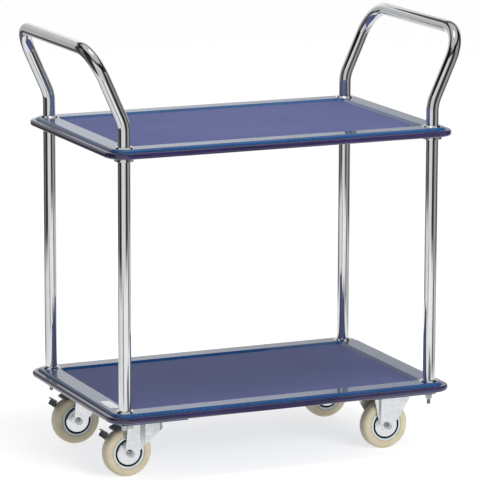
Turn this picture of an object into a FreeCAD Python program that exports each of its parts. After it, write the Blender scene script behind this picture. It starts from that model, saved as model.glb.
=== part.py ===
import FreeCAD, Part
import math
import os
import Sketcher
from FreeCAD import Placement, Rotation, Vector

# Two-deck platform trolley, millimetres.  +X runs along the length towards the fixed casters,
# +Z is up, and the origin is on the floor under the middle of the decks.

DIMENSIONS = {
    # heights above the floor
    "wheel_radius": 50,
    "rail_bottom": 122,
    "lower_top": 148.5,
    "upper_top": 677.5,
    "handle_bend": 724,
    "handle_top": 869,
    # deck pressings
    "sheet_gauge": 1.2,
    "wall_half_length": 364,
    "wall_half_width": 234,
    "wall_corner": 29,
    "roll_radius": 7,
    "flange_reach": 8,
    "flange_drop": 12.1,
    "recess_half_length": 324,
    "recess_half_width": 194,
    "recess_corner": 14,
    "recess_slope": 6,
    "recess_depth": 5.5,
    # mats and bumpers
    "mat_gauge": 1.5,
    "mat_gap": 0.4,
    "bumper_reach": 11,
    "bumper_height": 12,
    "bumper_gap": 0.3,
    "bumper_round": 4.6,
    # tube frame
    "post_place_x": 335.5,
    "post_place_y": 206.4,
    "tube_radius": 12.7,
    "tube_wall": 1.5,
    "handle_lean": 65,
    "lower_bend_radius": 70,
    "upper_bend_radius": 62,
    "plug_length": 18,
    "joint_stud_short": 4,
    "collar_radius": 19.5,
    "collar_height": 3,
    "socket_radius": 15.5,
    "socket_length": 24,
    "socket_rim": 2.5,
    # M8 fasteners
    "stud_radius": 4,
    "stud_hole": 4.2,
    "thread_bore": 4.05,
    "nut_flats": 13,
    "nut_height": 6.5,
    "head_height": 5.3,
    "thread_end": 3.5,
    "foot_stud_bottom": 100,
    "spacer_radius": 9,
    "washer_radius": 8.5,
    "washer_gauge": 1.6,
    "spring_washer_radius": 7.4,
    "spring_washer_gauge": 2.1,
    # caster rails
    "rail_gauge": 2,
    "rail_inner": 204,
    "rail_outer": 347,
    "rail_inner_lip": 12,
    "rail_outer_lip": 6,
    "rail_half_width": 216,
    # casters
    "caster_place_y": 142.5,
    "swivel_axis_x": -269,
    "swivel_wheel_x": -307.4,
    "fixed_wheel_x": 263.5,
    "plate_half_length": 52.5,
    "plate_half_width": 42.5,
    "plate_corner": 9,
    "plate_gauge": 2.5,
    "bolt_spacing_x": 40,
    "bolt_spacing_y": 30,
    "king_hole": 14,
    "king_head_radius": 11,
    "king_head": 3,
    "king_foot": 5,
    "king_radius": 6,
    "king_bore": 6.4,
    "race_inner": 17,
    "race_outer": 27,
    "race_height": 1.2,
    "ball_radius": 2.5,
    "crown_radius": 30,
    "crown_drop": 7.5,
    "fork_gauge": 2.5,
    "leg_half_width": 21,
    "leg_reach": 9,
    "leg_drop": 9,
    "leg_round": 8.5,
    "web_half_width": 18,
    "web_reach": 78.4,
    "web_round": 14,
    "jog_start": 21.5,
    "jog_end": 34,
    "flank_half_width": 19.5,
    "fixed_leg_reach": 11,
    "fixed_leg_drop": 11,
    "fixed_leg_round": 7.5,
    "short_flank": 30.5,
    "long_flank": 50.7,
    # wheels
    "tyre_half_width": 14.5,
    "tyre_round": 9,
    "rim_radius": 33,
    "hub_radius": 12,
    "hub_half_width": 13.5,
    "bearing_radius": 9,
    "bearing_bore": 4.3,
    "guard_radius": 25,
    # brakes
    "brake_pin_x": 2.4,
    "brake_pin_z": 55,
    "brake_pin_radius": 2.5,
    "brake_hub_radius": 4,
    "brake_half_width": 17.3,
    "brake_toe_half_width": 16.5,
    "brake_arm_gauge": 2,
    "brake_pin_head": 1.5,
    # blank label
    "label_place_x": -341,
    "label_place_y": -139,
    "label_half_length": 29,
    "label_half_width": 10,
    "label_gauge": 0.3,
}

BALL_COUNT = 20
SIDES = (-1, 1)
ENDS = (("left", -1), ("right", 1))
ROWS = (("front", -1), ("back", 1))

doc = FreeCAD.newDocument("PlatformTrolley")
sheet = doc.addObject("Spreadsheet::Sheet", "Dims")
for row, (alias, number) in enumerate(DIMENSIONS.items(), start=1):
    sheet.set("A%d" % row, alias)
    sheet.set("B%d" % row, str(number))
    sheet.setAlias("B%d" % row, alias)
doc.recompute()

nodes = []


# ---------------------------------------------------------------- helpers

def expand(expression):
    """Put the sheet's name before each alias in a formula."""
    words = str(expression).replace("(", "( ").replace(")", " )").split()
    return " ".join("Dims." + word if word in DIMENSIONS else word for word in words)


def value(expression):
    return float(sheet.evalExpression(expand(expression)))


def place(item, x="0", y="0", z="0", rotation=Rotation()):
    """Put an object at a point whose coordinates are formulas."""
    item.Placement = Placement(Vector(value(x), value(y), value(z)), rotation)
    item.setExpression("Placement.Base.x", expand(x))
    item.setExpression("Placement.Base.y", expand(y))
    item.setExpression("Placement.Base.z", expand(z))
    return item


def keep(item, label):
    """Name an object as one of the trolley's pieces."""
    item.Label = label
    nodes.append(item)
    return item


def new_body(label):
    return keep(doc.addObject("PartDesign::Body", "Body"), label)


def add_sketch(body, role, height="0"):
    sketch = body.newObject("Sketcher::SketchObject", "Sketch")
    planes = [feature for feature in body.Origin.OriginFeatures if feature.Role == role]
    sketch.AttachmentSupport = [(planes[0], "")]
    sketch.MapMode = "FlatFace"
    sketch.AttachmentOffset = Placement(Vector(0, 0, value(height)), Rotation())
    sketch.setExpression("AttachmentOffset.Base.z", expand(height))
    return sketch


def bind(sketch, kind, references, expression):
    """Add a dimension to a sketch and tie it to the sheet."""
    index = sketch.addConstraint(Sketcher.Constraint(kind, *references, value(expression)))
    sketch.setExpression("Constraints[%d]" % index, expand(expression))


def draw_circle(sketch, x, y, radius):
    centre = Vector(value(x), value(y), 0)
    circle = sketch.addGeometry(Part.Circle(centre, Vector(0, 0, 1), value(radius)))
    bind(sketch, "DistanceX", (-1, 1, circle, 3), x)
    bind(sketch, "DistanceY", (-1, 1, circle, 3), y)
    bind(sketch, "Radius", (circle,), radius)


def draw_outline(sketch, points):
    """Draw a closed outline of straight lines through points given as formulas."""
    first = sketch.GeometryCount
    corners = [Vector(value(x), value(y), 0) for x, y in points]
    for start, end in zip(corners, corners[1:] + corners[:1]):
        sketch.addGeometry(Part.LineSegment(start, end))
    for number, (x, y) in enumerate(points):
        line = first + number
        previous = first + (number - 1) % len(points)
        sketch.addConstraint(Sketcher.Constraint("Coincident", previous, 2, line, 1))
        bind(sketch, "DistanceX", (-1, 1, line, 1), x)
        bind(sketch, "DistanceY", (-1, 1, line, 1), y)


def draw_rounded_rectangle(sketch, half_x, half_y, radius):
    """Draw a rectangle with round corners, centred on the sketch's origin."""
    first = sketch.GeometryCount
    wide, deep, corner = value(half_x), value(half_y), value(radius)
    centres = ((1, -1), (1, 1), (-1, 1), (-1, -1))
    for number, (side_x, side_y) in enumerate(centres):
        centre = Vector(side_x * (wide - corner), side_y * (deep - corner), 0)
        start_angle = math.radians(90 * number - 90)
        circle = Part.Circle(centre, Vector(0, 0, 1), corner)
        sketch.addGeometry(Part.ArcOfCircle(circle, start_angle, start_angle + math.pi / 2))
    arcs = [sketch.Geometry[first + number] for number in range(4)]
    for number in range(4):
        start = arcs[number - 1].EndPoint
        sketch.addGeometry(Part.LineSegment(start, arcs[number].StartPoint))
    for number in range(4):
        arc = first + number
        line = first + 4 + number
        before = first + (number - 1) % 4
        sketch.addConstraint(Sketcher.Constraint("Tangent", before, 2, line, 1))
        sketch.addConstraint(Sketcher.Constraint("Tangent", line, 2, arc, 1))
        direction = "Horizontal" if number % 2 == 0 else "Vertical"
        sketch.addConstraint(Sketcher.Constraint(direction, line))
    for number in range(1, 4):
        sketch.addConstraint(Sketcher.Constraint("Equal", first, first + number))
    sketch.addConstraint(Sketcher.Constraint("Symmetric", first, 3, first + 2, 3, -1, 1))
    bind(sketch, "Radius", (first,), radius)
    bind(sketch, "DistanceX", (-1, 1, first + 5, 1), half_x)
    bind(sketch, "DistanceY", (-1, 1, first + 6, 1), half_y)


def pad(body, sketch, length):
    feature = body.newObject("PartDesign::Pad", "Pad")
    feature.Profile = sketch
    feature.Length = value(length)
    feature.setExpression("Length", expand(length))
    return feature


def pad_both_ways(body, sketch, length):
    feature = pad(body, sketch, length)
    feature.SideType = "Symmetric"
    return feature


def cut_up(body, sketch, length):
    """Cut from the sketch upwards, along its normal."""
    feature = body.newObject("PartDesign::Pocket", "Pocket")
    feature.Profile = sketch
    feature.Reversed = True
    feature.Length = value(length)
    feature.setExpression("Length", expand(length))
    return feature


def cut_both_ways(body, sketch, length):
    feature = cut_up(body, sketch, length)
    feature.SideType = "Symmetric"
    return feature


def revolve(body, sketch):
    """Turn a profile about the sketch's own vertical axis."""
    feature = body.newObject("PartDesign::Revolution", "Revolution")
    feature.Profile = sketch
    feature.ReferenceAxis = (sketch, ["V_Axis"])
    feature.Angle = 360
    return feature


def round_edges(body, feature, radius, test):
    """Round those edges of a feature that pass a test."""
    doc.recompute()
    numbered = enumerate(feature.Shape.Edges, start=1)
    names = ["Edge%d" % number for number, edge in numbered if test(edge)]
    fillet = body.newObject("PartDesign::Fillet", "Fillet")
    fillet.Base = (feature, names)
    fillet.Radius = value(radius)
    fillet.setExpression("Radius", expand(radius))
    return fillet


def lies_at_height(edge, height):
    box = edge.BoundBox
    return abs(box.ZMin - height) < 0.01 and abs(box.ZMax - height) < 0.01


def stands_at_corner(edge, reach):
    """True for an upright edge whose distance from the middle in X is the reach."""
    box = edge.BoundBox
    upright = box.XLength < 0.01 and box.YLength < 0.01
    return upright and abs(abs(box.Center.x) - reach) < 0.01


def runs_across_at(edge, x, z):
    """True for an edge along Y at one place in X and Z."""
    box = edge.BoundBox
    across = box.XLength < 0.01 and box.ZLength < 0.01
    return across and abs(box.XMin - x) < 0.01 and abs(box.ZMin - z) < 0.01


UPRIGHT = Rotation()
ALONG_Y = Rotation(Vector(1, 0, 0), -90)


def rod(radius, length, x, y, z, turn=UPRIGHT):
    item = doc.addObject("Part::Cylinder", "Rod")
    item.setExpression("Radius", expand(radius))
    item.setExpression("Height", expand(length))
    return place(item, x, y, z, turn)


def hexagon(length, x, y, z, turn=UPRIGHT):
    """A hexagonal head or nut blank with its corners turned off."""
    prism = doc.addObject("Part::Prism", "Hexagon")
    prism.Polygon = 6
    prism.setExpression("Circumradius", expand("nut_flats / sqrt( 3 )"))
    prism.setExpression("Height", expand(length))
    place(prism, x, y, z, turn)
    ball = doc.addObject("Part::Sphere", "Chamfer")
    ball.setExpression("Radius", expand("nut_flats * 0.585"))
    half = "( %s ) / 2" % length
    if turn == ALONG_Y:
        place(ball, x, "( %s ) + %s" % (y, half), z)
    else:
        place(ball, x, y, "( %s ) + %s" % (z, half))
    item = doc.addObject("Part::Common", "HexagonTurned")
    item.Base = prism
    item.Tool = ball
    return item


def bore(item, tool):
    result = doc.addObject("Part::Cut", "Bored")
    result.Base = item
    result.Tool = tool
    return result


def ring(outer, inner, length, x, y, z, turn=UPRIGHT):
    return bore(rod(outer, length, x, y, z, turn), rod(inner, length, x, y, z, turn))


def join(*items):
    result = doc.addObject("Part::MultiFuse", "Joined")
    result.Shapes = list(items)
    return result


def group(label, items):
    """Keep identical or matching solids together as one piece list entry."""
    result = doc.addObject("Part::Compound", "Group")
    result.Links = items
    return keep(result, label)


def post_places():
    for side_x in SIDES:
        for side_y in SIDES:
            yield "%d * post_place_x" % side_x, "%d * post_place_y" % side_y


def bolt_places(centre_x):
    """The eight plate bolts of the two casters at one end."""
    for row in SIDES:
        for side_x in SIDES:
            for side_y in SIDES:
                x = "%s + %d * bolt_spacing_x" % (centre_x, side_x)
                y = "%d * caster_place_y + %d * bolt_spacing_y" % (row, side_y)
                yield x, y


# ---------------------------------------------------------------- decks

def make_deck(label, top):
    """A pressed deck: rolled frame, outward flange, and a floor sunk below the frame."""
    body = new_body(label)
    flange_bottom = "%s - flange_drop" % top

    block = add_sketch(body, "XY_Plane", flange_bottom)
    draw_rounded_rectangle(block, "wall_half_length", "wall_half_width", "wall_corner")
    pad(body, block, "flange_drop")
    hollow = add_sketch(body, "XY_Plane", flange_bottom)
    draw_rounded_rectangle(hollow, "wall_half_length - sheet_gauge", "wall_half_width - sheet_gauge",
                           "wall_corner - sheet_gauge")
    hollowed = cut_up(body, hollow, "flange_drop - sheet_gauge")
    ceiling = value(top + " - sheet_gauge")
    backed = round_edges(body, hollowed, "roll_radius - sheet_gauge",
                         lambda edge: lies_at_height(edge, ceiling))
    surface = value(top)
    round_edges(body, backed, "roll_radius", lambda edge: lies_at_height(edge, surface))

    loft_levels = ((0.5, "- sheet_gauge", "AdditiveLoft"), (0, "", "SubtractiveLoft"))
    for widening, shift, kind in loft_levels:
        mouth = add_sketch(body, "XY_Plane", "%s %s" % (top, shift))
        draw_rounded_rectangle(mouth, "recess_half_length + %s" % widening,
                               "recess_half_width + %s" % widening,
                               "recess_corner + %s" % widening)
        floor = add_sketch(body, "XY_Plane", "%s - recess_depth %s" % (top, shift))
        draw_rounded_rectangle(floor, "recess_half_length - recess_slope + %s" % widening,
                               "recess_half_width - recess_slope + %s" % widening,
                               "recess_corner - recess_slope + %s" % widening)
        loft = body.newObject("PartDesign::" + kind, kind)
        loft.Profile = floor
        loft.Sections = [mouth]
        loft.Ruled = True

    flange = add_sketch(body, "XY_Plane", flange_bottom)
    draw_rounded_rectangle(flange, "wall_half_length + flange_reach",
                           "wall_half_width + flange_reach", "wall_corner + flange_reach")
    draw_rounded_rectangle(flange, "wall_half_length - sheet_gauge",
                           "wall_half_width - sheet_gauge", "wall_corner - sheet_gauge")
    pad(body, flange, "sheet_gauge")

    holes = add_sketch(body, "XY_Plane", top + " - sheet_gauge")
    for x, y in post_places():
        draw_circle(holes, x, y, "stud_hole")
    cut_up(body, holes, "sheet_gauge")


def make_mat(label, top):
    body = new_body(label)
    outline = add_sketch(body, "XY_Plane", top + " - recess_depth")
    draw_rounded_rectangle(outline, "recess_half_length - recess_slope - mat_gap",
                           "recess_half_width - recess_slope - mat_gap",
                           "recess_corner - recess_slope")
    pad(body, outline, "mat_gauge")


def make_bumper(label, top):
    """A soft strip with a rounded nose, grooved over the deck's flange."""
    body = new_body(label)
    middle = "%s - flange_drop + sheet_gauge / 2" % top
    bottom = "%s - bumper_height / 2" % middle
    strip = add_sketch(body, "XY_Plane", bottom)
    draw_rounded_rectangle(strip, "wall_half_length + bumper_reach",
                           "wall_half_width + bumper_reach", "wall_corner + bumper_reach")
    draw_rounded_rectangle(strip, "wall_half_length + bumper_gap",
                           "wall_half_width + bumper_gap", "wall_corner + bumper_gap")
    solid = pad(body, strip, "bumper_height")
    lower_edge = value(bottom)
    upper_edge = lower_edge + value("bumper_height")
    inner_reach = value("wall_half_length + bumper_gap + 1")

    def on_nose(edge):
        box = edge.BoundBox
        flat = lies_at_height(edge, lower_edge) or lies_at_height(edge, upper_edge)
        wide = max(abs(box.XMin), abs(box.XMax)) > inner_reach
        deep = max(abs(box.YMin), abs(box.YMax)) > value("wall_half_width + bumper_gap + 1")
        return flat and (wide or deep)

    round_edges(body, solid, "bumper_round", on_nose)
    groove = add_sketch(body, "XY_Plane", top + " - flange_drop")
    draw_rounded_rectangle(groove, "wall_half_length + flange_reach",
                           "wall_half_width + flange_reach", "wall_corner + flange_reach")
    draw_rounded_rectangle(groove, "wall_half_length", "wall_half_width", "wall_corner")
    cut_up(body, groove, "sheet_gauge")


for level in ("lower", "upper"):
    make_deck(level + "_deck", level + "_top")
    make_mat(level + "_mat", level + "_top")
    make_bumper(level + "_bumper", level + "_top")

label_plate = doc.addObject("Part::Box", "LabelPlate")
label_plate.setExpression("Length", expand("2 * label_half_width"))
label_plate.setExpression("Width", expand("2 * label_half_length"))
label_plate.setExpression("Height", expand("label_gauge"))
keep(place(label_plate, "label_place_x - label_half_width", "label_place_y - label_half_length",
           "lower_top"), "blank_label")


# ---------------------------------------------------------------- posts and handles

for end_name, end in ENDS:
    for row_name, row in ROWS:
        post = new_body("post_%s_%s" % (row_name, end_name))
        place(post, "%d * post_place_x" % end, "%d * post_place_y" % row, "lower_top")
        section = add_sketch(post, "XY_Plane")
        draw_circle(section, "0", "0", "tube_radius")
        draw_circle(section, "0", "0", "tube_radius - tube_wall")
        pad(post, section, "upper_top - sheet_gauge - lower_top")


def rounded_path(corners, radii):
    """A wire through corners, each inner one rounded by a tangent arc."""
    edges = []
    start = corners[0]
    for before, corner, after, radius in zip(corners, corners[1:], corners[2:], radii):
        back = (before - corner).normalize()
        ahead = (after - corner).normalize()
        half_angle = back.getAngle(ahead) / 2
        reach = radius / math.tan(half_angle)
        arc_start = corner + back * reach
        arc_end = corner + ahead * reach
        middle = (back + ahead).normalize()
        bulge = corner + middle * (radius / math.sin(half_angle) - radius)
        edges.append(Part.LineSegment(start, arc_start).toShape())
        edges.append(Part.Arc(arc_start, bulge, arc_end).toShape())
        start = arc_end
    edges.append(Part.LineSegment(start, corners[-1]).toShape())
    return Part.Wire(edges)


def sweep_round_bar(path, radius, x, y, z):
    section = doc.addObject("Part::Circle", "Section")
    section.setExpression("Radius", expand(radius))
    place(section, x, y, z)
    sweep = doc.addObject("Part::Sweep", "Sweep")
    sweep.Sections = [section]
    sweep.Spine = (path, ["Edge%d" % number for number in range(1, 10)])
    sweep.Solid = True
    sweep.Frenet = False
    return sweep


for end_name, end in ENDS:
    foot_x = end * value("post_place_x")
    bar_x = end * value("post_place_x + handle_lean")
    half_span = value("post_place_y")
    levels = [value(name) for name in ("upper_top", "handle_bend", "handle_top")]
    corners = [Vector(foot_x, -half_span, levels[0]), Vector(foot_x, -half_span, levels[1]),
               Vector(bar_x, -half_span, levels[2]), Vector(bar_x, half_span, levels[2]),
               Vector(foot_x, half_span, levels[1]), Vector(foot_x, half_span, levels[0])]
    radii = [value(name) for name in ("lower_bend_radius", "upper_bend_radius",
                                      "upper_bend_radius", "lower_bend_radius")]
    spine = doc.addObject("Part::Feature", "HandlePath")
    spine.Shape = rounded_path(corners, radii)
    foot = ("%d * post_place_x" % end, "-1 * post_place_y", "upper_top")
    bar = sweep_round_bar(spine, "tube_radius", *foot)
    core = sweep_round_bar(spine, "tube_radius - tube_wall", *foot)
    keep(bore(bar, core), "handle_" + end_name)


# collars on and under the decks
collars = []
for x, y in post_places():
    for level in ("lower_top", "upper_top"):
        cone = doc.addObject("Part::Cone", "Collar")
        cone.setExpression("Radius1", expand("collar_radius"))
        cone.setExpression("Radius2", expand("collar_radius - collar_height"))
        cone.setExpression("Height", expand("collar_height"))
        place(cone, x, y, level)
        collars.append(bore(cone, rod("tube_radius", "collar_height", x, y, level)))
    socket_bottom = "upper_top - sheet_gauge - socket_length"
    skirt = rod("collar_radius", "socket_rim", x, y, socket_bottom)
    sleeve = rod("socket_radius", "socket_length", x, y, socket_bottom)
    collars.append(bore(join(skirt, sleeve), rod("tube_radius", "socket_length", x, y, socket_bottom)))
group("deck_collars", collars)

# threaded plugs in the tube ends, and the studs that screw into them
plugs = []
foot_studs = []
joint_studs = []
spacers = []
washers = []
foot_nuts = []
for x, y in post_places():
    plug_starts = ("lower_top", "upper_top - sheet_gauge - plug_length", "upper_top")
    for start in plug_starts:
        plugs.append(ring("tube_radius - tube_wall", "thread_bore", "plug_length", x, y, start))
    foot_studs.append(rod("stud_radius", "lower_top + plug_length - foot_stud_bottom",
                          x, y, "foot_stud_bottom"))
    joint_studs.append(rod("stud_radius", "2 * ( plug_length - joint_stud_short )",
                           x, y, "upper_top - plug_length + joint_stud_short"))
    web_top = "rail_bottom + rail_gauge"
    spacers.append(ring("spacer_radius", "stud_hole",
                        "lower_top - sheet_gauge - rail_bottom - rail_gauge", x, y, web_top))
    flat_bottom = "rail_bottom - washer_gauge"
    spring_bottom = flat_bottom + " - spring_washer_gauge"
    washers.append(ring("washer_radius", "stud_hole", "washer_gauge", x, y, flat_bottom))
    washers.append(ring("spring_washer_radius", "stud_hole", "spring_washer_gauge", x, y, spring_bottom))
    nut_bottom = spring_bottom + " - nut_height"
    foot_nuts.append(bore(hexagon("nut_height", x, y, nut_bottom),
                          rod("thread_bore", "nut_height", x, y, nut_bottom)))
group("tube_plugs", plugs)
group("joint_studs", joint_studs)
group("foot_studs", foot_studs)
group("foot_spacers", spacers)
group("foot_washers", washers)
group("foot_nuts", foot_nuts)


# ---------------------------------------------------------------- caster rails

def make_rail(end_name, end, bolt_centre):
    """A pressed channel across the underside, open upwards, with lips spot-welded to the deck."""
    body = new_body("caster_rail_" + end_name)
    section = add_sketch(body, "XZ_Plane")
    floor_underside = "lower_top - recess_depth - sheet_gauge"
    frame_underside = "lower_top - sheet_gauge"
    outline = [
        ("rail_inner - rail_inner_lip", floor_underside),
        ("rail_inner + rail_gauge", floor_underside),
        ("rail_inner + rail_gauge", "rail_bottom + rail_gauge"),
        ("rail_outer - rail_gauge", "rail_bottom + rail_gauge"),
        ("rail_outer - rail_gauge", frame_underside),
        ("rail_outer + rail_outer_lip", frame_underside),
        ("rail_outer + rail_outer_lip", frame_underside + " - rail_gauge"),
        ("rail_outer", frame_underside + " - rail_gauge"),
        ("rail_outer", "rail_bottom"),
        ("rail_inner", "rail_bottom"),
        ("rail_inner", floor_underside + " - rail_gauge"),
        ("rail_inner - rail_inner_lip", floor_underside + " - rail_gauge"),
    ]
    draw_outline(section, [("%d * ( %s )" % (end, x), z) for x, z in outline])
    pad_both_ways(body, section, "2 * rail_half_width")
    holes = add_sketch(body, "XY_Plane", "rail_bottom")
    for row in SIDES:
        draw_circle(holes, "%d * post_place_x" % end, "%d * post_place_y" % row, "stud_hole")
        if end < 0:
            draw_circle(holes, "swivel_axis_x", "%d * caster_place_y" % row, "king_hole")
    for x, y in bolt_places(bolt_centre):
        draw_circle(holes, x, y, "stud_hole")
    cut_up(body, holes, "rail_gauge")


make_rail("left", -1, "swivel_axis_x")
make_rail("right", 1, "fixed_wheel_x")

bolts = []
nuts = []
plate_bottom = "rail_bottom - plate_gauge"
for centre_x in ("swivel_axis_x", "fixed_wheel_x"):
    for x, y in bolt_places(centre_x):
        head = hexagon("head_height", x, y, plate_bottom + " - head_height")
        shank = rod("stud_radius", "plate_gauge + rail_gauge + nut_height + thread_end",
                    x, y, plate_bottom)
        bolts.append(join(head, shank))
        nut_bottom = "rail_bottom + rail_gauge"
        nuts.append(bore(hexagon("nut_height", x, y, nut_bottom),
                         rod("thread_bore", "nut_height", x, y, nut_bottom)))
group("caster_bolts", bolts)
group("weld_nuts", nuts)


# ---------------------------------------------------------------- swivel casters

def make_swivel_plate(row_name, row):
    """The fixed top plate of a swivel caster, with the upper ball race under it."""
    body = new_body("swivel_plate_" + row_name)
    place(body, "swivel_axis_x", "%d * caster_place_y" % row, plate_bottom)
    outline = add_sketch(body, "XY_Plane")
    draw_rounded_rectangle(outline, "plate_half_length", "plate_half_width", "plate_corner")
    draw_circle(outline, "0", "0", "king_bore")
    for side_x in SIDES:
        for side_y in SIDES:
            draw_circle(outline, "%d * bolt_spacing_x" % side_x, "%d * bolt_spacing_y" % side_y,
                        "stud_hole")
    pad(body, outline, "plate_gauge")
    race = add_sketch(body, "XY_Plane", "-1")
    draw_circle(race, "0", "0", "race_outer")
    draw_circle(race, "0", "0", "race_inner")
    pad(body, race, "1.5")


# In a fork's own frame the origin is the wheel's centre.
CROWN_TOP = "rail_bottom - plate_gauge - crown_drop - wheel_radius"
CROWN_BOTTOM = CROWN_TOP + " - fork_gauge"
AXIS_OFFSET = "swivel_axis_x - swivel_wheel_x"
CROWN_LAP = 0.5          # how far the crown runs into the walls that it is one pressing with


def drill_across(body, x, z, radius):
    hole = add_sketch(body, "XZ_Plane")
    draw_circle(hole, x, z, radius)
    cut_both_ways(body, hole, "4 * leg_half_width")


def both_sides(points):
    """Complete the front half of an outline with its mirror image in Y."""
    back = [(x, "-1 * ( %s )" % y) for x, y in reversed(points)]
    return points + back


def make_swivel_fork(row_name, row):
    """Two legs, pressed in one with a narrower rounded front web and a round crown."""
    body = new_body("swivel_fork_" + row_name)
    place(body, "swivel_wheel_x", "%d * caster_place_y" % row, "wheel_radius")
    wall = add_sketch(body, "XY_Plane", "-1 * leg_drop")
    outer = [("-1 * leg_reach", "-1 * leg_half_width"), ("jog_start", "-1 * leg_half_width"),
             ("jog_end", "-1 * web_half_width"), ("web_reach", "-1 * web_half_width")]
    inner = [("-1 * leg_reach", "leg_half_width - fork_gauge"),
             ("jog_start", "leg_half_width - fork_gauge"), ("jog_end", "web_half_width - fork_gauge"),
             ("web_reach - fork_gauge", "web_half_width - fork_gauge")]
    draw_outline(wall, both_sides(outer) + both_sides(inner))
    walls = pad(body, wall, CROWN_TOP + " + leg_drop")
    front = value("web_reach")
    outside = round_edges(body, walls, "web_round", lambda edge: stands_at_corner(edge, front))
    backing = value("web_reach - fork_gauge")
    round_edges(body, outside, "web_round - fork_gauge",
                lambda edge: stands_at_corner(edge, backing))

    side = add_sketch(body, "XZ_Plane")
    below_web = [(4, -10), (4, -8), (25.4, 8), ("web_reach", 50), (90, 50), (90, -10)]
    behind_leg = [(-10, 14), ("-1 * leg_reach", 14), (-4, 62), (-4, 70), (-10, 70)]
    for waste in (below_web, behind_leg):
        draw_outline(side, waste)
    trimmed = cut_both_ways(body, side, "4 * leg_half_width")
    corner = (value("-1 * leg_reach"), value("-1 * leg_drop"))
    round_edges(body, trimmed, "leg_round", lambda edge: runs_across_at(edge, *corner))

    leg_inside = "leg_half_width - fork_gauge + %s" % CROWN_LAP
    web_inside = "web_half_width - fork_gauge + %s" % CROWN_LAP
    nose = "web_reach - fork_gauge + %s" % CROWN_LAP
    cropped = 6.5
    crown = add_sketch(body, "XY_Plane", CROWN_BOTTOM)
    draw_outline(crown, both_sides([
        (AXIS_OFFSET + " - crown_radius", "-1 * ( %s )" % leg_inside),
        ("jog_start", "-1 * ( %s )" % leg_inside), ("jog_end", "-1 * ( %s )" % web_inside),
        ("%s - %s" % (nose, cropped), "-1 * ( %s )" % web_inside),
        (nose, "%s - ( %s )" % (cropped, web_inside))]))
    pad(body, crown, "fork_gauge")
    disc = add_sketch(body, "XY_Plane", CROWN_BOTTOM)
    draw_circle(disc, AXIS_OFFSET, "0", "crown_radius")
    pad(body, disc, "fork_gauge")
    race = add_sketch(body, "XY_Plane", CROWN_TOP)
    draw_circle(race, AXIS_OFFSET, "0", "race_outer")
    draw_circle(race, AXIS_OFFSET, "0", "race_inner")
    pad(body, race, "race_height")
    centre = add_sketch(body, "XY_Plane", CROWN_BOTTOM)
    draw_circle(centre, AXIS_OFFSET, "0", "king_radius")
    cut_up(body, centre, "fork_gauge")
    drill_across(body, "0", "0", "thread_bore")
    drill_across(body, "brake_pin_x", "brake_pin_z", "brake_pin_radius")


def make_king_pin(row_name, row):
    """The riveted pin that hangs the fork from its plate: a head above and a head below."""
    axis = ("swivel_axis_x", "%d * caster_place_y" % row)
    crown_bottom = "rail_bottom - plate_gauge - crown_drop - fork_gauge"
    foot_bottom = crown_bottom + " - king_foot"
    shank = rod("king_radius", "rail_bottom + king_head - ( %s )" % foot_bottom, *axis, foot_bottom)
    foot = rod("king_head_radius", "king_foot", *axis, foot_bottom)
    head = rod("king_head_radius", "king_head", *axis, "rail_bottom + 0.3")
    keep(join(shank, foot, head), "king_pin_" + row_name)


def make_race_balls(row_name, row):
    pitch = "( race_inner + race_outer ) / 2"
    height = "rail_bottom - plate_gauge - crown_drop + race_height + ball_radius"
    balls = []
    for number in range(BALL_COUNT):
        angle = 2 * math.pi * number / BALL_COUNT
        ball = doc.addObject("Part::Sphere", "Ball")
        ball.setExpression("Radius", expand("ball_radius"))
        x = "swivel_axis_x + %s * %.6f" % (pitch, math.cos(angle))
        y = "%d * caster_place_y + %s * %.6f" % (row, pitch, math.sin(angle))
        balls.append(place(ball, x, y, height))
    group("race_balls_" + row_name, balls)


def make_axle(name, wheel_x, row):
    """The axle bolt through a fork, with its head on the +Y side."""
    y_centre = "%d * caster_place_y" % row
    shank = rod("stud_radius", "2 * leg_half_width + nut_height + thread_end", wheel_x,
                y_centre + " - leg_half_width - nut_height - thread_end", "wheel_radius", ALONG_Y)
    head = hexagon("head_height", wheel_x, y_centre + " + leg_half_width", "wheel_radius", ALONG_Y)
    nut_start = y_centre + " - leg_half_width - nut_height"
    nut = bore(hexagon("nut_height", wheel_x, nut_start, "wheel_radius", ALONG_Y),
               rod("thread_bore", "nut_height", wheel_x, nut_start, "wheel_radius", ALONG_Y))
    return join(head, shank), nut


def make_brake(row_name, row):
    """A bent pedal: a release tab whose tip grips the tyre, a toe with a lip, and an arm between them."""
    body = new_body("brake_lever_" + row_name)
    place(body, "swivel_wheel_x", "%d * caster_place_y" % row, "wheel_radius")
    release_tab = [("brake_pin_x", "brake_pin_z + brake_hub_radius"), (-18, 55.5), (-30.8, 50),
                   (-30.6, 46.2), (-28.8, 46.6), (-28.8, 48.8), (-17.6, 53.5),
                   ("brake_pin_x", "brake_pin_z")]
    toe = [(-45, 46.3), (-51.8, 48.3), (-52.2, 46.7), (-46.9, 45), (-50.6, 39.8), (-53.4, 34.4),
           (-51.8, 33.6), (-48.8, 39.2)]
    for outline, width in ((release_tab, "brake_half_width"), (toe, "brake_toe_half_width")):
        side = add_sketch(body, "XZ_Plane")
        draw_outline(side, outline)
        pad_both_ways(body, side, "2 * " + width)
    hub = add_sketch(body, "XZ_Plane")
    draw_circle(hub, "brake_pin_x", "brake_pin_z", "brake_hub_radius")
    pad_both_ways(body, hub, "2 * brake_half_width")
    arm_outline = [(-1.5, 58), (-10, 46), (-25, 38.5), (-36, 32), (-45.5, 44.5), (-52.5, 34.5),
                   (-40, 24), (-28, 30), (-12, 38), (4, 48)]
    arm = add_sketch(body, "XZ_Plane", "-1 * brake_half_width")
    draw_outline(arm, arm_outline)
    pad(body, arm, "brake_arm_gauge")
    drill_across(body, "brake_pin_x", "brake_pin_z", "brake_pin_radius + 0.05")


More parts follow.
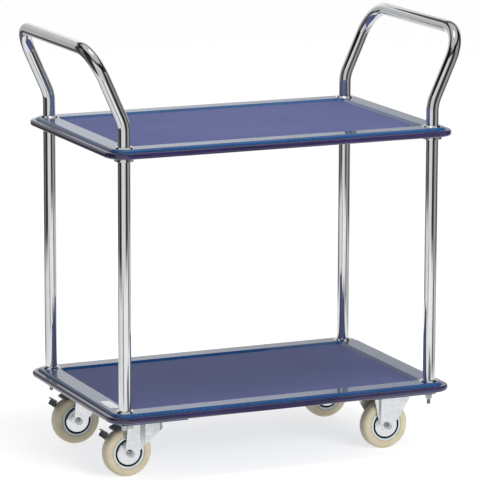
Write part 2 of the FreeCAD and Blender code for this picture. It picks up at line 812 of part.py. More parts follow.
def make_brake_pin(row_name, row):
    x = "swivel_wheel_x + brake_pin_x"
    z = "wheel_radius + brake_pin_z"
    start = "%d * caster_place_y - leg_half_width - brake_pin_head" % row
    shank = rod("brake_pin_radius", "2 * ( leg_half_width + brake_pin_head )", x, start, z, ALONG_Y)
    near_head = rod("brake_pin_radius + brake_pin_head", "brake_pin_head", x, start, z, ALONG_Y)
    far_head = rod("brake_pin_radius + brake_pin_head", "brake_pin_head", x,
                   "%d * caster_place_y + leg_half_width" % row, z, ALONG_Y)
    keep(join(shank, near_head, far_head), "brake_pin_" + row_name)


for row_name, row in ROWS:
    make_swivel_plate(row_name, row)
    make_swivel_fork(row_name, row)
    make_king_pin(row_name, row)
    make_race_balls(row_name, row)
    axle_bolt, axle_nut = make_axle("swivel", "swivel_wheel_x", row)
    keep(axle_bolt, "swivel_axle_bolt_" + row_name)
    keep(axle_nut, "swivel_axle_nut_" + row_name)
    make_brake(row_name, row)
    make_brake_pin(row_name, row)


# ---------------------------------------------------------------- fixed casters

def make_fixed_fork(row_name, row):
    """A plate with two legs bent down from it, each with a raised middle panel and a long flank.

    The far leg is the near one turned half round about the upright line through the wheel.
    """
    body = new_body("fixed_fork_" + row_name)
    place(body, "fixed_wheel_x", "%d * caster_place_y" % row, "wheel_radius")
    plate_level = "rail_bottom - plate_gauge - wheel_radius"
    legs = add_sketch(body, "XY_Plane", "-1 * fixed_leg_drop")
    panel = [("-1 * short_flank", "flank_half_width"), (-19.5, "flank_half_width"),
             (-14.5, "leg_half_width"), (13.5, "leg_half_width"), (19, "flank_half_width"),
             ("long_flank", "flank_half_width")]
    inside = [(x, y + " - fork_gauge") for x, y in reversed(panel)]
    for side in SIDES:
        draw_outline(legs, [("%d * ( %s )" % (-side, x), "%d * ( %s )" % (side, y))
                            for x, y in panel + inside])
    pad(body, legs, plate_level + " + fixed_leg_drop + plate_gauge / 2")
    short_side = [("-1 * short_flank", 60), (-27.5, 56), (-19.5, 13), ("-1 * fixed_leg_reach", -3),
                  ("-1 * fixed_leg_reach", -12), (-32, -12), (-32, 60)]
    long_side = [("long_flank", 56), (48.8, 51), (33.5, 25), (19.5, 6), ("fixed_leg_reach", -3),
                 ("fixed_leg_reach", -12), (52, -12), (52, 56)]
    for side, start in ((-1, "0"), (1, "-2 * leg_half_width")):
        side_cut = add_sketch(body, "XZ_Plane", start)
        for outline in (short_side, long_side):
            draw_outline(side_cut, [("%d * ( %s )" % (-side, x), z) for x, z in outline])
        trimmed = cut_up(body, side_cut, "2 * leg_half_width")
    reach, bottom = value("fixed_leg_reach"), value("-1 * fixed_leg_drop")
    round_edges(body, trimmed, "fixed_leg_round",
                lambda edge: any(runs_across_at(edge, side * reach, bottom) for side in SIDES))
    plate = add_sketch(body, "XY_Plane", plate_level)
    draw_rounded_rectangle(plate, "plate_half_length", "plate_half_width", "plate_corner")
    for side_x in SIDES:
        for side_y in SIDES:
            draw_circle(plate, "%d * bolt_spacing_x" % side_x, "%d * bolt_spacing_y" % side_y,
                        "stud_hole")
    pad(body, plate, "plate_gauge")
    drill_across(body, "0", "0", "thread_bore")


fixed_bolts = []
fixed_nuts = []
for row_name, row in ROWS:
    make_fixed_fork(row_name, row)
    axle_bolt, axle_nut = make_axle("fixed", "fixed_wheel_x", row)
    fixed_bolts.append(axle_bolt)
    fixed_nuts.append(axle_nut)
group("fixed_axle_bolts", fixed_bolts)
group("fixed_axle_nuts", fixed_nuts)


# ---------------------------------------------------------------- wheels

def mirrored(points):
    """Complete a profile of (radius, distance from the middle) on the other side."""
    far_side = [(radius, "-( %s )" % across) for radius, across in reversed(points)]
    return points + far_side


def make_turned(label, wheel_x, row, outline):
    """A body turned about the wheel's axle."""
    body = new_body(label)
    place(body, wheel_x, "%d * caster_place_y" % row, "wheel_radius")
    profile = add_sketch(body, "XY_Plane")
    draw_outline(profile, outline)
    return body, revolve(body, profile)


def is_tread_edge(edge):
    box = edge.BoundBox
    flat = box.YLength < 0.01
    return flat and abs(box.XMax - value("wheel_radius")) < 0.01


for end_name, wheel_x in (("left", "swivel_wheel_x"), ("right", "fixed_wheel_x")):
    for row_name, row in ROWS:
        corner_name = "%s_%s" % (row_name, end_name)
        tyre, tread = make_turned("tyre_" + corner_name, wheel_x, row, mirrored([
            ("rim_radius", "tyre_half_width - 2"), ("rim_radius + 2.5", "tyre_half_width"),
            ("wheel_radius", "tyre_half_width")]))
        round_edges(tyre, tread, "tyre_round", is_tread_edge)
        make_turned("rim_" + corner_name, wheel_x, row, mirrored([
            ("bearing_radius", "hub_half_width"), ("hub_radius", "hub_half_width"),
            ("hub_radius + 2", "5"), ("27", "8"), ("28.7", "10"), ("28.7", "tyre_half_width - 0.5"),
            ("rim_radius - 0.8", "tyre_half_width - 0.5"), ("rim_radius", "tyre_half_width - 2")]))
        make_turned("bearing_" + corner_name, wheel_x, row, mirrored([
            ("bearing_bore", "hub_half_width"), ("bearing_radius", "hub_half_width")]))
        guards = []
        for side in SIDES:
            guard = doc.addObject("PartDesign::Body", "Guard")
            place(guard, wheel_x, "%d * caster_place_y" % row, "wheel_radius")
            profile = add_sketch(guard, "XY_Plane")
            outline = [("thread_bore", 13.9), (8.5, 13.9), (8.5, 16.4), (13, 16.4),
                       ("guard_radius - 2", 14.4), ("guard_radius - 1.2", 12), ("guard_radius", 12),
                       ("guard_radius", 14.2), ("guard_radius - 1.4", 15.8), (13.5, 17.8), (11.5, 17.8),
                       (10.5, "leg_half_width - fork_gauge"),
                       ("thread_bore", "leg_half_width - fork_gauge")]
            draw_outline(profile, [(radius, "%d * ( %s )" % (side, across))
                                   for radius, across in outline])
            revolve(guard, profile)
            guards.append(guard)
        group("thread_guards_" + corner_name, guards)


# ---------------------------------------------------------------- check and write

doc.recompute()
for item in doc.Objects:
    if "Invalid" in item.State or "Error" in item.State:
        raise RuntimeError("%s (%s) failed: %s" % (item.Name, item.Label, item.State))
    if item.TypeId == "PartDesign::Pocket":
        if item.Shape.Volume >= item.BaseFeature.Shape.Volume - 0.01:
            raise RuntimeError("%s cuts nothing" % item.Name)
for item in nodes:
    if item.Shape.isNull() or not item.Shape.isValid() or not item.Shape.Solids:
        raise RuntimeError("%s has no valid shape" % item.Label)

os.makedirs("parts", exist_ok=True)
for item in nodes:
    item.Shape.exportStep("parts/%s.step" % item.Label)
print("%d pieces written" % len(nodes))
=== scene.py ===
"""Looks of the platform trolley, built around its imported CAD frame: mats with a real diamond grain, threaded
studs, and a procedural finish on every piece. Lengths are in metres, in the CAD frame, and angles in degrees
where a name says so."""
import math

import bmesh
import bpy
from mathutils import Matrix, Vector


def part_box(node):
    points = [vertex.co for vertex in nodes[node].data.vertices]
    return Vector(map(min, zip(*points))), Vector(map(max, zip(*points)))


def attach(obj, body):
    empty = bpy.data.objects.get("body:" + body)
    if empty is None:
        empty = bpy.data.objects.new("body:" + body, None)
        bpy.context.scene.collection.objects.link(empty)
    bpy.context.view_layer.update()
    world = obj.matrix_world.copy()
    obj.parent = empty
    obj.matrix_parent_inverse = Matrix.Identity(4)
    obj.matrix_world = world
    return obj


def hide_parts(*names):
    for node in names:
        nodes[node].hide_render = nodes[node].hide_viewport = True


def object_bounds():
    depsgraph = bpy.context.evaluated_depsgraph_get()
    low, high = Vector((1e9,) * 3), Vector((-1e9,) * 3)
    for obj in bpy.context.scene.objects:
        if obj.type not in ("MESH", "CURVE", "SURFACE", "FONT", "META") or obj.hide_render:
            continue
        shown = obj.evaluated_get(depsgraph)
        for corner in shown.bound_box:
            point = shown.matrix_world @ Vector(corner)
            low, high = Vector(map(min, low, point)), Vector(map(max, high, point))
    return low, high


MM = 0.001

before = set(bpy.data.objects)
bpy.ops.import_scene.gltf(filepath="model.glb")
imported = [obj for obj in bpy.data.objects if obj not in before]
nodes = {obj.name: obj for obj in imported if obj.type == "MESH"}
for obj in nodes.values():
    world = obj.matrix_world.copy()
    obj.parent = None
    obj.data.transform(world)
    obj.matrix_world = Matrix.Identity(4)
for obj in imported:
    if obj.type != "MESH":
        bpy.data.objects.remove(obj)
cad_low, cad_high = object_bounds()


# ---- camera ---------------------------------------------------------------------------------------------

CAMERA_PLACE = (-2.830, -6.452, 1.844)
CAMERA_YAW = 23.700      # degrees from +Y towards +X
CAMERA_PITCH = 11.342    # degrees below the horizon
CAMERA_ROLL = 0.157      # degrees about the line of sight
SENSOR = 36.0
LENS = 262.76


def make_camera():
    data = bpy.data.cameras.new("camera")
    data.sensor_width = SENSOR
    data.lens = LENS
    data.clip_start = 0.1
    data.clip_end = 200.0
    camera = bpy.data.objects.new("camera", data)
    turn = Matrix.Rotation(math.radians(-CAMERA_YAW), 4, "Z")
    tip = Matrix.Rotation(math.radians(90.0 - CAMERA_PITCH), 4, "X")
    roll = Matrix.Rotation(math.radians(CAMERA_ROLL), 4, "Z")
    camera.matrix_world = Matrix.Translation(CAMERA_PLACE) @ turn @ tip @ roll
    bpy.context.scene.collection.objects.link(camera)
    bpy.context.scene.camera = camera


# ---- node trees -----------------------------------------------------------------------------------------

class Finish:
    """A material under construction: its tree, its shader and short calls that add nodes to it."""

    def __init__(self, name, **sockets):
        self.material = bpy.data.materials.new(name)
        self.material.use_nodes = True
        self.tree = self.material.node_tree
        self.shader = self.tree.nodes["Principled BSDF"]
        self.place = self.add("ShaderNodeTexCoord").outputs["Object"]
        for socket, value in sockets.items():
            self.shader.inputs[socket.replace("_", " ")].default_value = value

    def add(self, kind, **settings):
        made = self.tree.nodes.new(kind)
        for key, value in settings.items():
            setattr(made, key, value)
        return made

    def feed(self, made, socket, value):
        """Sets a socket of a node to a number or vector, or links it to another node's output."""
        target = made.inputs[socket]
        if isinstance(value, bpy.types.NodeSocket):
            self.tree.links.new(value, target)
        else:
            target.default_value = value

    def stretched(self, factors, source=None):
        """The object's coordinates times these factors, for a pattern that is longer one way."""
        made = self.add("ShaderNodeVectorMath", operation="MULTIPLY")
        self.feed(made, 0, source or self.place)
        self.feed(made, 1, factors)
        return made.outputs["Vector"]

    def noise(self, scale, detail=3.0, roughness=0.55, source=None):
        made = self.add("ShaderNodeTexNoise")
        self.feed(made, "Vector", source or self.place)
        self.feed(made, "Scale", scale)
        self.feed(made, "Detail", detail)
        self.feed(made, "Roughness", roughness)
        return made.outputs["Fac"]

    def cell_colours(self, scale):
        made = self.add("ShaderNodeTexVoronoi", feature="F1")
        self.feed(made, "Vector", self.place)
        self.feed(made, "Scale", scale)
        return made.outputs["Color"]

    def math(self, operation, first, second=0.0):
        made = self.add("ShaderNodeMath", operation=operation)
        self.feed(made, 0, first)
        self.feed(made, 1, second)
        return made.outputs["Value"]

    def spread(self, source, low, high, start=0.0, end=1.0):
        """Maps source from start..end to low..high, clamped."""
        made = self.add("ShaderNodeMapRange")
        self.feed(made, "Value", source)
        self.feed(made, "From Min", start)
        self.feed(made, "From Max", end)
        self.feed(made, "To Min", low)
        self.feed(made, "To Max", high)
        return made.outputs["Result"]

    def mix(self, share, first, second):
        """Colour between first and second, by share from 0 to 1."""
        made = self.add("ShaderNodeMix", data_type="RGBA")
        self.feed(made, "Factor", share)
        made_inputs = [socket for socket in made.inputs if socket.type == "RGBA"]
        for socket, value in zip(made_inputs, (first, second)):
            if isinstance(value, bpy.types.NodeSocket):
                self.tree.links.new(value, socket)
            else:
                socket.default_value = (*value, 1.0)
        return [socket for socket in made.outputs if socket.type == "RGBA"][0]

    def separate(self):
        """The object's coordinates, one by one."""
        made = self.add("ShaderNodeSeparateXYZ")
        self.feed(made, "Vector", self.place)
        return made.outputs["X"], made.outputs["Y"], made.outputs["Z"]

    def bump(self, height, depth, below=None):
        """A relief of this depth in metres where height goes from 0 to 1."""
        made = self.add("ShaderNodeBump")
        self.feed(made, "Strength", 1.0)
        self.feed(made, "Distance", depth)
        self.feed(made, "Height", height)
        if below is not None:
            self.feed(made, "Normal", below)
        return made.outputs["Normal"]

    def use(self, **sockets):
        """Links these outputs to the shader's own sockets."""
        for socket, source in sockets.items():
            self.feed(self.shader, socket.replace("_", " "), source)
        return self.material


# ---- finishes -------------------------------------------------------------------------------------------

def blue_enamel(name, deep, light):
    """Glossy stove enamel: faint orange peel, a little mottling, fine handling marks on the gloss."""
    paint = Finish(name, Coat_Weight=1.0, Coat_Roughness=0.03, Coat_IOR=1.5, IOR=1.4)
    mottle = paint.noise(9.0, 4.0)
    marks = paint.noise(150.0, 4.0, 0.6)
    peel = paint.noise(420.0, 2.0)
    return paint.use(
        Base_Color=paint.mix(paint.spread(mottle, 0.0, 1.0, 0.3, 0.7), deep, light),
        Roughness=paint.spread(marks, 0.24, 0.32, 0.3, 0.7),
        Normal=paint.bump(peel, 0.05 * MM),
    )


def grained_mat(name):
    """Soft vinyl mat: its diamonds are in the mesh; here are the fine grain and lighter specks scattered
    through it.
    """
    vinyl = Finish(name, IOR=1.45, Specular_IOR_Level=0.35, Sheen_Weight=0.15, Sheen_Roughness=0.4,
                   Sheen_Tint=(0.45, 0.6, 0.9, 1.0))
    cloud = vinyl.noise(7.0, 4.0)
    pores = vinyl.noise(1500.0, 3.0, 0.7)
    colour = vinyl.mix(vinyl.spread(cloud, 0.0, 1.0, 0.3, 0.7), (0.052, 0.060, 0.156), (0.062, 0.071, 0.176))
    return vinyl.use(
        Base_Color=vinyl.mix(vinyl.spread(pores, 0.0, 0.35, 0.45, 0.75), colour, (0.11, 0.11, 0.26)),
        Roughness=vinyl.spread(pores, 0.42, 0.62, 0.3, 0.7),
        Normal=vinyl.bump(pores, 0.03 * MM),
    )


def glossy_strip(name):
    """Extruded vinyl edge strip: dark navy, glossy, with faint lines along the extrusion."""
    strip = Finish(name, Coat_Weight=1.0, Coat_Roughness=0.03, IOR=1.5)
    lines = strip.noise(30.0, 3.0, 0.5, strip.stretched((0.4, 0.4, 60.0)))
    cloud = strip.noise(14.0, 3.0)
    navy = strip.mix(strip.spread(cloud, 0.0, 1.0, 0.3, 0.7), (0.010, 0.007, 0.034), (0.017, 0.011, 0.056))
    return strip.use(
        Base_Color=navy,
        Roughness=strip.spread(lines, 0.18, 0.32, 0.3, 0.7),
        Normal=strip.bump(lines, 0.04 * MM),
    )


def chrome_plate(name):
    """Bright chrome on drawn tube: very slight waviness, and hairlines that show only in the gloss."""
    plate = Finish(name, Metallic=1.0, IOR=2.5)
    tone = plate.noise(25.0, 3.0)
    hairlines = plate.noise(40.0, 5.0, 0.75, plate.stretched((30.0, 30.0, 1.0)))
    wave = plate.noise(18.0, 1.0)
    return plate.use(
        Base_Color=plate.mix(plate.spread(tone, 0.0, 1.0, 0.3, 0.7), (0.80, 0.81, 0.82), (0.87, 0.88, 0.89)),
        Roughness=plate.spread(hairlines, 0.03, 0.11, 0.4, 0.8),
        Normal=plate.bump(wave, 0.10 * MM),
    )


def zinc_plate(name, dull, bright, rough, smooth):
    """Zinc plate: soft-edged crystals a few millimetres wide under a fine rolled grain."""
    zinc = Finish(name, Metallic=1.0)
    crystals = zinc.cell_colours(180.0)
    cloud = zinc.noise(45.0, 5.0, 0.6)
    grain = zinc.noise(700.0, 3.0, 0.6, zinc.stretched((1.0, 1.0, 0.15)))
    tone = zinc.add("ShaderNodeSeparateColor")
    zinc.feed(tone, "Color", crystals)
    crystal_share = zinc.math("MULTIPLY", tone.outputs["Red"], 0.35)
    share = zinc.math("ADD", crystal_share, zinc.math("MULTIPLY", cloud, 0.65))
    return zinc.use(
        Base_Color=zinc.mix(zinc.spread(share, 0.0, 1.0, 0.3, 0.7), dull, bright),
        Roughness=zinc.spread(share, rough, smooth, 0.3, 0.7),
        Normal=zinc.bump(grain, 0.03 * MM),
    )


def reach_from_axles(finish, axles):
    """Distance from the nearer of the axles, which all run along Y, in the wheels' own coordinates."""
    x, _, z = finish.separate()
    reaches = []
    for axle in axles:
        across = finish.math("SUBTRACT", x, axle.x)
        up = finish.math("SUBTRACT", z, axle.z)
        square = finish.math("ADD", finish.math("MULTIPLY", across, across), finish.math("MULTIPLY", up, up))
        reaches.append(finish.math("SQRT", square))
    return finish.math("MINIMUM", *reaches)


def tan_rubber(name, axles, tread_radius):
    """Solid tan rubber: fine pores, warm mottling, a moulding seam round the tread and dust beside it."""
    rubber = Finish(name, IOR=1.45, Sheen_Weight=0.10, Sheen_Roughness=0.5)
    cloud = rubber.noise(28.0, 5.0, 0.6)
    pores = rubber.noise(1100.0, 4.0, 0.65)
    _, y, _ = rubber.separate()
    across = rubber.math("SUBTRACT", rubber.math("ABSOLUTE", y), abs(axles[0].y))
    off_centre = rubber.math("ABSOLUTE", across)
    seam = rubber.spread(off_centre, 1.0, 0.0, 0.15 * MM, 0.40 * MM)
    reach = reach_from_axles(rubber, axles)
    near_tread = rubber.spread(reach, 0.0, 0.45, tread_radius - 4 * MM, tread_radius)
    dust = rubber.math("MULTIPLY", near_tread, cloud)
    colour = rubber.mix(rubber.spread(cloud, 0.0, 1.0, 0.3, 0.7), (0.37, 0.32, 0.22), (0.46, 0.41, 0.30))
    pitted = rubber.mix(rubber.spread(pores, 0.0, 0.3, 0.5, 0.8), colour, (0.24, 0.20, 0.14))
    dusty = rubber.mix(dust, pitted, (0.30, 0.29, 0.26))
    seamed = rubber.mix(rubber.math("MULTIPLY", seam, 0.4), dusty, (0.22, 0.18, 0.12))
    return rubber.use(
        Base_Color=seamed,
        Roughness=rubber.spread(cloud, 0.50, 0.68, 0.3, 0.7),
        Normal=rubber.bump(seam, 0.12 * MM, rubber.bump(pores, 0.05 * MM)),
    )


GROOVE_SHADE_EDGE = (28.6 * MM, 28.9 * MM)    # radii between which a wheel centre goes from the black of the painted shade in the groove to grey


def wheel_centre(name, axles):
    """Moulded wheel centre: light grey, with near-black shade painted into the groove round the thread guard.
    """
    centre = Finish(name, IOR=1.5)
    outside = centre.spread(reach_from_axles(centre, axles), 0.0, 1.0, *GROOVE_SHADE_EDGE)
    cloud = centre.noise(60.0, 4.0)
    grain = centre.noise(1300.0, 3.0)
    grey = centre.mix(centre.spread(cloud, 0.0, 1.0, 0.3, 0.7), (0.34, 0.40, 0.42), (0.45, 0.51, 0.53))
    # painted shade: near-black colour standing in for the shadow down in the groove round the thread guard
    black = centre.mix(cloud, (0.006, 0.007, 0.009), (0.016, 0.018, 0.021))
    return centre.use(
        Base_Color=centre.mix(outside, black, grey),
        Roughness=centre.spread(cloud, 0.32, 0.48, 0.3, 0.7),
        Normal=centre.bump(grain, 0.03 * MM),
    )


def black_coat(name):
    """Dark coated pressing: slightly uneven satin coat, thin and greyer in places."""
    coat = Finish(name, IOR=1.5, Coat_Weight=0.3, Coat_Roughness=0.2)
    cloud = coat.noise(70.0, 5.0, 0.65)
    grain = coat.noise(900.0, 3.0)
    black = coat.mix(coat.spread(cloud, 0.0, 1.0, 0.35, 0.75), (0.012, 0.016, 0.020), (0.045, 0.052, 0.058))
    return coat.use(
        Base_Color=black,
        Roughness=coat.spread(cloud, 0.30, 0.50, 0.3, 0.7),
        Normal=coat.bump(grain, 0.04 * MM),
    )


def white_film(name):
    """Plain label film: off-white, satin, with a faint paper tooth and slightly grubby places."""
    film = Finish(name, IOR=1.45)
    cloud = film.noise(90.0, 5.0, 0.6)
    tooth = film.noise(2200.0, 2.0)
    return film.use(
        Base_Color=film.mix(film.spread(cloud, 0.0, 1.0, 0.35, 0.75), (0.86, 0.87, 0.88), (0.74, 0.76, 0.79)),
        Roughness=film.spread(cloud, 0.28, 0.42, 0.3, 0.7),
        Normal=film.bump(tooth, 0.01 * MM),
    )


def middle(node):
    low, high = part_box(node)
    return (low + high) / 2


def make_finishes():
    """One material for each material slot of the record."""
    axles = (middle("tyre_front_left"), middle("tyre_front_right"))
    low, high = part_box("tyre_front_right")
    return {
        "deck_blue": blue_enamel("deck_blue", (0.005, 0.037, 0.118), (0.007, 0.048, 0.146)),
        "rail_blue": blue_enamel("rail_blue", (0.003, 0.042, 0.125), (0.004, 0.055, 0.155)),
        "mat_violet": grained_mat("mat_violet"),
        "bumper_dark": glossy_strip("bumper_dark"),
        "chrome": chrome_plate("chrome"),
        "zinc_pressing": zinc_plate("zinc_pressing", (0.84, 0.86, 0.88), (0.90, 0.92, 0.94), 0.26, 0.18),
        "zinc_fastener": zinc_plate("zinc_fastener", (0.48, 0.49, 0.49), (0.66, 0.67, 0.66), 0.38, 0.26),
        "tyre_tan": tan_rubber("tyre_tan", axles, (high.x - low.x) / 2),
        "rim_grey": wheel_centre("rim_grey", axles),
        "brake_black": black_coat("brake_black"),
        "label_white": white_film("label_white"),
    }


def paint_nodes(finishes):
    """Every CAD node takes the finish of its own slot."""
    for node in nodes.values():
        for place in node.material_slots:
            place.material = finishes[place.material.name.split(".")[0]]


# ---- pieces made here -----------------------------------------------------------------------------------

MAT_PITCH = 6.0 * MM          # from one diamond to the next, along X and along Y
MAT_RISE = 0.7 * MM           # height of a diamond's tip above the mat's plain border
MAT_BORDER = 4.0 * MM
MAT_CORNER = 8.0 * MM
CORNER_STEPS = 8


def add_piece(name, mesh, body, slot, finish, *stands_for):
    """Adds a mesh as a visible piece that rides on a body, in place of CAD nodes."""
    piece = bpy.data.objects.new(name, mesh)
    bpy.context.scene.collection.objects.link(piece)
    mesh.materials.append(finish)
    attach(piece, body)
    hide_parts(*stands_for)
    return piece


def rounded_outline(low, high, radius, z):
    """Points round a rectangle with round corners, anticlockwise from above."""
    corners = ((high.x, high.y, 0), (low.x, high.y, 90), (low.x, low.y, 180), (high.x, low.y, 270))
    points = []
    for x, y, start in corners:
        centre_x = x - math.copysign(radius, x - (low.x + high.x) / 2)
        centre_y = y - math.copysign(radius, y - (low.y + high.y) / 2)
        for step in range(CORNER_STEPS + 1):
            angle = math.radians(start + 90 * step / CORNER_STEPS)
            x_out, y_out = radius * math.cos(angle), radius * math.sin(angle)
            points.append(Vector((centre_x + x_out, centre_y + y_out, z)))
    return points


def diamond_mat(node, corner_radius):
    """A slab of the node's own size whose top, inside a plain border, is cut into pointed diamonds."""
    low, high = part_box(node)
    border_z = high.z - MAT_RISE
    work = bmesh.new()
    outline = [work.verts.new(p) for p in rounded_outline(low, high, corner_radius, border_z)]
    field = work.faces.new(outline)
    bmesh.ops.inset_region(work, faces=[field], thickness=MAT_BORDER, use_even_offset=True)
    centre = (low + high) / 2
    half_diagonal = (high.x - low.x + high.y - low.y) / 2
    lines = int(half_diagonal / MAT_PITCH) + 1
    inside = {field}
    for slope in (1, -1):
        across = Vector((1, slope, 0)).normalized()
        for line in range(-lines, lines + 1):
            origin = centre + Vector(((line + 0.5) * MAT_PITCH, 0, 0))
            found = [f for f in inside if f.is_valid]
            pool = set()
            for face in found:
                pool.update(face.verts, face.edges)
            result = bmesh.ops.bisect_plane(
                work, geom=found + list(pool), plane_co=origin, plane_no=across, dist=1e-7)
            inside = {item for item in result["geom"] if isinstance(item, bmesh.types.BMFace)}
    full_area = MAT_PITCH ** 2 / 2
    whole = [face for face in inside if face.calc_area() > 0.99 * full_area]
    bmesh.ops.poke(work, faces=whole, offset=MAT_RISE)
    rim = [edge for edge in work.edges if edge.is_boundary]
    down = bmesh.ops.extrude_edge_only(work, edges=rim)
    lower = [item for item in down["geom"] if isinstance(item, bmesh.types.BMVert)]
    for vertex in lower:
        vertex.co.z = low.z
    bmesh.ops.contextual_create(work, geom=[edge for edge in work.edges if edge.is_boundary])
    bmesh.ops.recalc_face_normals(work, faces=work.faces)
    mesh = bpy.data.meshes.new(node + "_grained")
    work.to_mesh(mesh)
    work.free()
    return mesh


def make_mats(finishes):
    for level in ("upper", "lower"):
        node = level + "_mat"
        mesh = diamond_mat(node, MAT_CORNER)
        add_piece(node + "_grained", mesh, "chassis", "mat_violet", finishes["mat_violet"], node)


STUD_RADIUS = 4.0 * MM        # M8
THREAD_PITCH = 1.25 * MM
THREAD_DEPTH = 0.70 * MM
THREADED_LENGTH = 26 * MM     # as much of each stud as stands out below the deck
THREAD_SIDES = 24
THREAD_STEPS = 8              # levels in one turn of the thread


def thread_radius(outer, height, turned):
    """Radius of a right-hand V thread at this height, where turned is the share of a whole turn."""
    phase = (height / THREAD_PITCH - turned) % 1.0
    return outer - THREAD_DEPTH * abs(2 * phase - 1)


def add_threaded_stud(work, x, y, outer, bottom, top):
    """Adds a stud whose lower end is threaded and pointed and whose upper end is plain."""
    steps = round(THREADED_LENGTH / THREAD_PITCH * THREAD_STEPS)
    levels = [bottom + THREADED_LENGTH * step / steps for step in range(steps + 1)]
    rings = []
    for level in levels:
        ring = []
        for side in range(THREAD_SIDES):
            turned = side / THREAD_SIDES
            pointed = outer - THREAD_DEPTH - 0.3 * MM + (level - bottom)
            radius = min(pointed, thread_radius(outer, level, turned))
            angle = math.tau * turned
            ring.append(work.verts.new((x + radius * math.cos(angle), y + radius * math.sin(angle), level)))
        rings.append(ring)
    for level in (levels[-1], top):
        ring = [work.verts.new((x + outer * math.cos(math.tau * side / THREAD_SIDES),
                                y + outer * math.sin(math.tau * side / THREAD_SIDES), level))
                for side in range(THREAD_SIDES)]
        rings.append(ring)
    for below, above in zip(rings, rings[1:]):
        for side in range(THREAD_SIDES):
            after = (side + 1) % THREAD_SIDES
            work.faces.new((below[side], below[after], above[after], above[side]))
    work.faces.new(list(reversed(rings[0])))
    work.faces.new(rings[-1])


def make_foot_studs(finishes):
    """The four studs that hold the posts, with a real thread where they stand out below the lower deck."""
    node = "foot_studs"
    low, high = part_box(node)
    outer = STUD_RADIUS
    work = bmesh.new()
    for x in (low.x + outer, high.x - outer):
        for y in (low.y + outer, high.y - outer):
            add_threaded_stud(work, x, y, outer, low.z, high.z)
    mesh = bpy.data.meshes.new(node + "_threaded")
    work.to_mesh(mesh)
    work.free()
    add_piece(node + "_threaded", mesh, "chassis", "zinc_fastener", finishes["zinc_fastener"], node)


# ---- studio ---------------------------------------------------------------------------------------------

# What polished pieces see around them, as (degrees from the camera's side towards its right, brightness):
# a tall window behind the camera, dark studio on both sides of it, and the white sweep behind the object.
WALL_BANDS = (
    (-180, 0.86), (-170, 1.00), (-160, 1.00), (-150, 0.62), (-122, 0.55), (-116, 0.05), (-103, 0.05),
    (-96, 0.24), (-86, 0.20), (-80, 0.03), (-48, 0.03), (-38, 0.76), (12, 0.70), (20, 0.03), (50, 0.05),
    (60, 0.38), (92, 0.30), (100, 0.05), (124, 0.06), (134, 0.64), (162, 0.62), (180, 0.86),
)
# The floor close to the object, in the same directions: pale, with one dark side that shows up folds.
NEAR_BANDS = ((-180, 0.86), (12, 0.86), (20, 0.18), (46, 0.18), (54, 0.86), (180, 0.86))
# The floor farther out, with three dark strips that lead away from the object.
FLOOR_BANDS = (
    (-180, 0.80), (-150, 0.80), (-142, 0.12), (-118, 0.12), (-108, 0.60), (-70, 0.78), (-34, 0.80),
    (-28, 0.20), (-22, 0.20), (-15, 0.95), (52, 0.92), (60, 0.12), (74, 0.16), (82, 0.66), (112, 0.40),
    (150, 0.80), (180, 0.80),
)
# A dark piece of furniture that stands against the wall behind the object, on the left.
CUPBOARD_BANDS = ((-180, 1.0), (-145, 1.0), (-140, 0.15), (-122, 0.15), (-117, 1.0), (180, 1.0))
CUPBOARD_TOP = (0.44, 0.52)
# How the wall's brightness changes with height in metres.
WALL_HEIGHTS = (
    (0.0, 1.0), (0.42, 1.0), (0.54, 0.85), (1.15, 0.82), (1.50, 1.0), (1.78, 1.0), (1.86, 0.08), (2.50, 0.08),
    (2.70, 0.50),
)
STUDIO_RADIUS = 2.0
STUDIO_HEIGHT = 3.2
FLOOR_MEETS_WALL = 0.11       # height over which the floor's bands give way to the wall's
NEAR_FLOOR = (1.00, 1.15)     # radii between which the near floor gives way to the far one
SOFTBOX = (0.45, 0.60)        # radii between which the bright box overhead gives way to the dim ceiling
SOFTBOX_LIGHT = 1.3
CEILING_LIGHT = 0.55
FLOOR_HALF = 60.0


def show_only_to_gloss(thing):
    """Keeps a stage object out of the picture and out of soft light, so that only reflections see it."""
    thing.visible_camera = False
    thing.visible_diffuse = False
    thing.visible_shadow = False
    thing.visible_transmission = False
    thing.visible_volume_scatter = False


def add_stage(name, points, faces, material):
    mesh = bpy.data.meshes.new(name)
    mesh.from_pydata(points, [], faces)
    mesh.materials.append(material)
    stage = bpy.data.objects.new(name, mesh)
    bpy.context.scene.collection.objects.link(stage)
    return stage


def make_floor():
    """A wide pale floor, lit from within like a light table, which is also the background."""
    pale = Finish("floor", Specular_IOR_Level=0.0, Roughness=0.9, Emission_Color=(1.0, 1.0, 1.0, 1.0),
                  Emission_Strength=0.66)
    cloud = pale.noise(1.5, 2.0)
    material = pale.use(Base_Color=pale.mix(cloud, (0.40, 0.40, 0.40), (0.42, 0.42, 0.42)))
    corners = [(-FLOOR_HALF, -FLOOR_HALF, 0), (FLOOR_HALF, -FLOOR_HALF, 0),
               (FLOOR_HALF, FLOOR_HALF, 0), (-FLOOR_HALF, FLOOR_HALF, 0)]
    floor = add_stage("floor", corners, [(0, 1, 2, 3)], material)
    floor.visible_glossy = False


def ramp(finish, share, stops):
    """A colour ramp through (position from 0 to 1, brightness) stops."""
    made = finish.add("ShaderNodeValToRGB")
    elements = made.color_ramp.elements
    while len(elements) < len(stops):
        elements.new(0.5)
    for element, (position, light) in zip(elements, stops):
        element.position = position
        element.color = (light, light, light, 1.0)
    finish.feed(made, "Fac", share)
    return made.outputs["Color"]


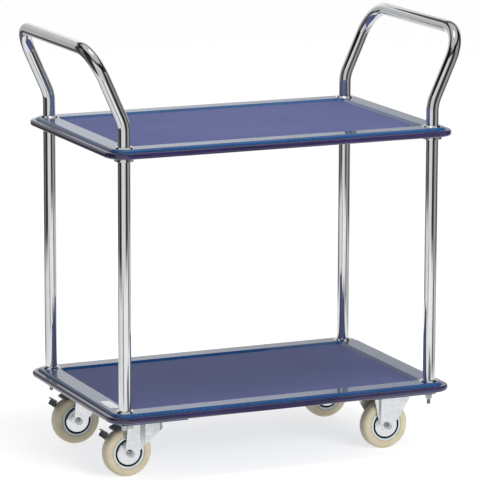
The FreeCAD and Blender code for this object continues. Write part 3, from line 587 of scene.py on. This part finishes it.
def studio_paint():
    """Light of the studio round: one set of bands on the wall, another on the floor, and a dim ceiling."""
    paint = Finish("studio_round")
    x, y, z = paint.separate()
    turn = paint.math("ARCTAN2", x, paint.math("MULTIPLY", y, -1.0))
    share = paint.spread(turn, 0.0, 1.0, -math.pi, math.pi)
    wall, near, far, cupboard = (
        ramp(paint, share, [((degrees + 180) / 360, light) for degrees, light in bands])
        for bands in (WALL_BANDS, NEAR_BANDS, FLOOR_BANDS, CUPBOARD_BANDS))
    level = paint.spread(z, 0.0, 1.0, 0.0, STUDIO_HEIGHT)
    heights = ramp(paint, level, [(height / STUDIO_HEIGHT, light) for height, light in WALL_HEIGHTS])
    standing = paint.mix(paint.spread(z, 0.0, 1.0, *CUPBOARD_TOP), cupboard, (1.0, 1.0, 1.0))
    shaded = paint.stretched(heights, paint.stretched(standing, wall))
    reach = paint.math("SQRT", paint.math("ADD", paint.math("MULTIPLY", x, x), paint.math("MULTIPLY", y, y)))
    floor = paint.mix(paint.spread(reach, 0.0, 1.0, *NEAR_FLOOR), near, far)
    ceiling = paint.mix(paint.spread(reach, 0.0, 1.0, *SOFTBOX), (SOFTBOX_LIGHT,) * 3, (CEILING_LIGHT,) * 3)
    round_light = paint.mix(paint.spread(z, 0.0, 1.0, 0.0, FLOOR_MEETS_WALL), floor, shaded)
    under_ceiling = paint.math("LESS_THAN", z, STUDIO_HEIGHT - 0.01)
    glow = paint.add("ShaderNodeEmission")
    paint.feed(glow, "Color", paint.mix(under_ceiling, ceiling, round_light))
    output = paint.tree.nodes["Material Output"]
    paint.tree.links.new(glow.outputs["Emission"], output.inputs["Surface"])
    return paint.material


def make_studio_round():
    """A round room seen only in reflections: a floor disc, a wall and a ceiling disc."""
    sides = 96
    rim = [(math.cos(math.tau * side / sides), math.sin(math.tau * side / sides)) for side in range(sides)]
    levels = (0.0005, STUDIO_HEIGHT)
    points = [(STUDIO_RADIUS * x, STUDIO_RADIUS * y, level) for level in levels for x, y in rim]
    points += [(0, 0, level) for level in levels]
    floor_middle, ceiling_middle = 2 * sides, 2 * sides + 1
    faces = []
    for side in range(sides):
        after = (side + 1) % sides
        faces.append((floor_middle, side, after))
        faces.append((side, sides + side, sides + after, after))
        faces.append((ceiling_middle, sides + after, sides + side))
    studio = add_stage("studio_round", points, faces, studio_paint())
    studio.rotation_euler.z = math.atan2(CAMERA_PLACE[0], -CAMERA_PLACE[1])
    show_only_to_gloss(studio)


def area_light(name, place, target, width, height, power):
    """A soft light for the matt surfaces; the glossy ones see the studio round instead."""
    data = bpy.data.lights.new(name, "AREA")
    data.shape = "RECTANGLE"
    data.size = width
    data.size_y = height
    data.energy = power
    light = bpy.data.objects.new(name, data)
    light.location = place
    light.rotation_euler = (Vector(target) - Vector(place)).to_track_quat("-Z", "Y").to_euler()
    light.visible_glossy = False
    bpy.context.scene.collection.objects.link(light)


def make_lights():
    centre = (cad_low + cad_high) / 2
    area_light("overhead", centre + Vector((0.3, -0.6, 2.4)), centre, 1.8, 0.8, 42.0)
    area_light("fill", centre + Vector((0.9, -3.1, 0.9)), centre, 2.2, 1.2, 95.0)
    world = bpy.data.worlds.new("world")
    world.use_nodes = True
    background = world.node_tree.nodes["Background"]
    background.inputs["Color"].default_value = (1.0, 1.0, 1.0, 1.0)
    background.inputs["Strength"].default_value = 0.78
    bpy.context.scene.world = world


# ---- the scene ------------------------------------------------------------------------------------------

bpy.context.scene.view_settings.view_transform = "Standard"
make_camera()
finishes = make_finishes()
paint_nodes(finishes)
make_mats(finishes)
make_foot_studs(finishes)
make_floor()
make_studio_round()
make_lights()
